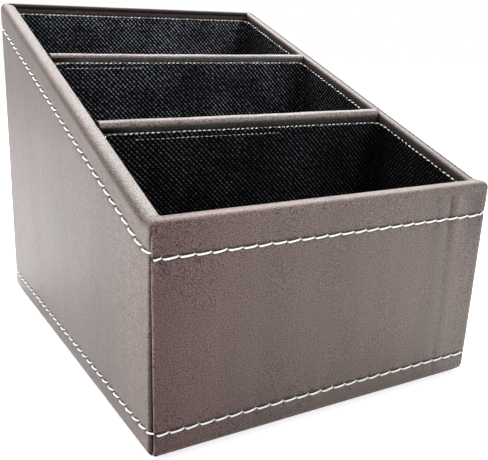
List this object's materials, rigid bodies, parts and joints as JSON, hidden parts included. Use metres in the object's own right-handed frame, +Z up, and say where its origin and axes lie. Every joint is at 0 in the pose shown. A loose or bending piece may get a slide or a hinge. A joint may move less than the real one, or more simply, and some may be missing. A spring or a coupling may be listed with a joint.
{
  "type": "desk organizer box",
  "caption": "Sloped-top desk organizer box with three open pockets, leather-wrapped boards, dividers and contrast stitching.",
  "frame": {"origin": "middle of the footprint, on the surface that the box stands on", "axes": "+Z up, front wall towards -Y, back wall towards +Y, +X to the right seen from the front"},
  "size_m": [0.1228, 0.1498, 0.124],
  "materials": {
    "leather": "satin",
    "cloth": "matte",
    "board": "matte",
    "thread": "matte",
    "felt": "matte"
  },
  "bodies": {
    "root": {"front_board": "board", "back_board": "board", "left_board": "board", "right_board": "board", "base_board": "board", "front_divider_board": "board", "rear_divider_board": "board", "outer_cover": "leather", "front_divider_cover": "leather", "rear_divider_cover": "leather", "front_pocket_lining": "cloth", "middle_pocket_lining": "cloth", "rear_pocket_lining": "cloth", "front_pocket_floor": "cloth", "middle_pocket_floor": "cloth", "rear_pocket_floor": "cloth", "upper_stitching": "thread", "lower_stitching": "thread", "base_felt": "felt"}
  },
  "joints": []
}
